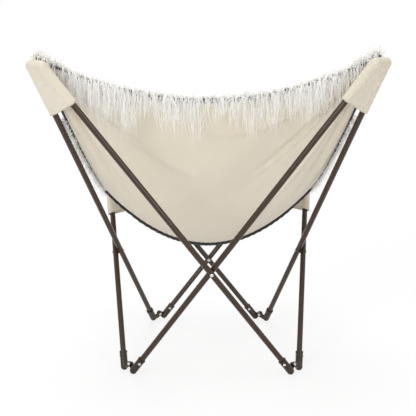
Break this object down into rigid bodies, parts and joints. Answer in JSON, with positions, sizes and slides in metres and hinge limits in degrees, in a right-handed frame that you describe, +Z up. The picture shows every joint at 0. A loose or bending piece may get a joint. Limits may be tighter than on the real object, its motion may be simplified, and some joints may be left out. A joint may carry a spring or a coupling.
{
  "type": "butterfly chair",
  "caption": "Folding butterfly chair: crossed bronze tubes with hinged elbow fittings carry a sagging canvas sling lined with long white faux fur, held by corner pockets.",
  "frame": {"origin": "on the floor under the middle of the four top corners, the bottom centre of the box around the chair", "axes": "+Z up; -Y the way the sitter faces; +X to the sitter's left"},
  "size_m": [0.8968, 0.7426, 0.9069],
  "materials": {
    "tube_bronze": "dark bronze gloss coat on steel tube",
    "elbow_bronze": "dark bronze satin coat on castings",
    "bright_steel": "bright rivets, pins and washers",
    "canvas": "cream woven canvas",
    "fur": "long white faux fur",
    "binding": "black woven tape"
  },
  "bodies": {
    "cover_and_rear_rivet": {"rear_cross_rivet": "bright_steel", "rear_cross_washer": "bright_steel", "back_panel": "canvas", "seat_panel": "canvas", "fur_lining": "fur", "edge_binding": "binding", "seam_binding": "binding", "rear_left_pocket": "canvas", "rear_right_pocket": "canvas", "front_left_pocket": "canvas", "front_right_pocket": "canvas"},
    "rear_outer_leg": {"rear_tube_outer": "tube_bronze", "rear_tube_outer_foot_elbow": "elbow_bronze", "rear_tube_outer_top_elbow": "elbow_bronze", "rear_tube_outer_rivets": "bright_steel", "rear_left_top_pin": "bright_steel"},
    "rear_inner_leg": {"rear_tube_inner": "tube_bronze", "rear_tube_inner_foot_elbow": "elbow_bronze", "rear_tube_inner_top_elbow": "elbow_bronze", "rear_tube_inner_rivets": "bright_steel", "rear_right_top_pin": "bright_steel"},
    "left_inner_leg": {"left_tube_inner": "tube_bronze", "left_tube_inner_foot_elbow": "elbow_bronze", "left_tube_inner_top_elbow": "elbow_bronze", "left_tube_inner_rivets": "bright_steel", "left_cross_rivet": "bright_steel", "left_cross_washer": "bright_steel"},
    "right_inner_leg": {"right_tube_inner": "tube_bronze", "right_tube_inner_foot_elbow": "elbow_bronze", "right_tube_inner_top_elbow": "elbow_bronze", "right_tube_inner_rivets": "bright_steel", "right_cross_rivet": "bright_steel", "right_cross_washer": "bright_steel"},
    "left_outer_leg": {"left_tube_outer": "tube_bronze", "left_tube_outer_foot_elbow": "elbow_bronze", "left_tube_outer_top_elbow": "elbow_bronze", "left_tube_outer_rivets": "bright_steel", "rear_left_foot_pin": "bright_steel", "front_left_top_pin": "bright_steel"},
    "right_outer_leg": {"right_tube_outer": "tube_bronze", "right_tube_outer_foot_elbow": "elbow_bronze", "right_tube_outer_top_elbow": "elbow_bronze", "right_tube_outer_rivets": "bright_steel", "rear_right_foot_pin": "bright_steel", "front_right_top_pin": "bright_steel"},
    "front_outer_leg": {"front_tube_outer": "tube_bronze", "front_tube_outer_foot_elbow": "elbow_bronze", "front_tube_outer_top_elbow": "elbow_bronze", "front_tube_outer_rivets": "bright_steel", "front_left_foot_pin": "bright_steel", "front_cross_rivet": "bright_steel", "front_cross_washer": "bright_steel"},
    "front_inner_leg": {"front_tube_inner": "tube_bronze", "front_tube_inner_foot_elbow": "elbow_bronze", "front_tube_inner_top_elbow": "elbow_bronze", "front_tube_inner_rivets": "bright_steel", "front_right_foot_pin": "bright_steel"}
  },
  "joints": [
    {"name": "fold", "type": "hinge", "parent": "cover_and_rear_rivet", "child": "rear_outer_leg", "pos_m": [-0.00292, 0.2229, 0.32065], "axis": [0, -0.9757, 0.2192], "range_deg": [0, 27.57], "deforming": ["back_panel", "seat_panel", "fur_lining", "edge_binding", "seam_binding", "rear_left_pocket", "rear_right_pocket", "front_left_pocket", "front_right_pocket"]},
    {"name": "rear_inner_fold", "type": "hinge", "parent": "cover_and_rear_rivet", "child": "rear_inner_leg", "pos_m": [-0.00292, 0.2229, 0.32065], "axis": [0, 0.9757, -0.2192], "range_deg": [0, 27.62]},
    {"name": "rear_left_top_hinge", "type": "hinge", "parent": "rear_outer_leg", "child": "left_inner_leg", "pos_m": [0.41636, 0.33698, 0.87474], "axis": [0.6173, 0.5959, -0.5137], "range_deg": [0, 22.16]},
    {"name": "rear_right_top_hinge", "type": "hinge", "parent": "rear_inner_leg", "child": "right_inner_leg", "pos_m": [-0.41606, 0.31959, 0.87474], "axis": [0.6363, -0.6335, 0.4403], "range_deg": [0, 21.09]},
    {"name": "left_cross_hinge", "type": "hinge", "parent": "left_inner_leg", "child": "left_outer_leg", "pos_m": [0.27682, -0.09964, 0.29557], "axis": [-0.9735, 0.1046, 0.2033], "range_deg": [0, 55.33]},
    {"name": "right_cross_hinge", "type": "hinge", "parent": "right_inner_leg", "child": "right_outer_leg", "pos_m": [-0.27845, -0.09642, 0.29215], "axis": [-0.9735, -0.1046, -0.2033], "range_deg": [0, 51.15]},
    {"name": "front_right_top_hinge", "type": "hinge", "parent": "right_outer_leg", "child": "front_outer_leg", "pos_m": [-0.30184, -0.33678, 0.56079], "axis": [0.6548, 0.5906, 0.4717], "range_deg": [0, 32.13]},
    {"name": "front_cross_hinge", "type": "hinge", "parent": "front_outer_leg", "child": "front_inner_leg", "pos_m": [-0.00106, -0.3311, 0.20334], "axis": [0, -0.9988, -0.0481], "range_deg": [0, 57.04]}
  ],
  "couplings": [
    {"joint": "rear_inner_fold", "follows": "fold", "ratio": 1},
    {"joint": "rear_left_top_hinge", "follows": "fold", "ratio": 0.80175},
    {"joint": "rear_right_top_hinge", "follows": "fold", "ratio": 0.76299},
    {"joint": "left_cross_hinge", "follows": "fold", "ratio": 2.0048},
    {"joint": "right_cross_hinge", "follows": "fold", "ratio": 1.8529},
    {"joint": "front_right_top_hinge", "follows": "fold", "ratio": 1.1633},
    {"joint": "front_cross_hinge", "follows": "fold", "ratio": 2.0666}
  ]
}
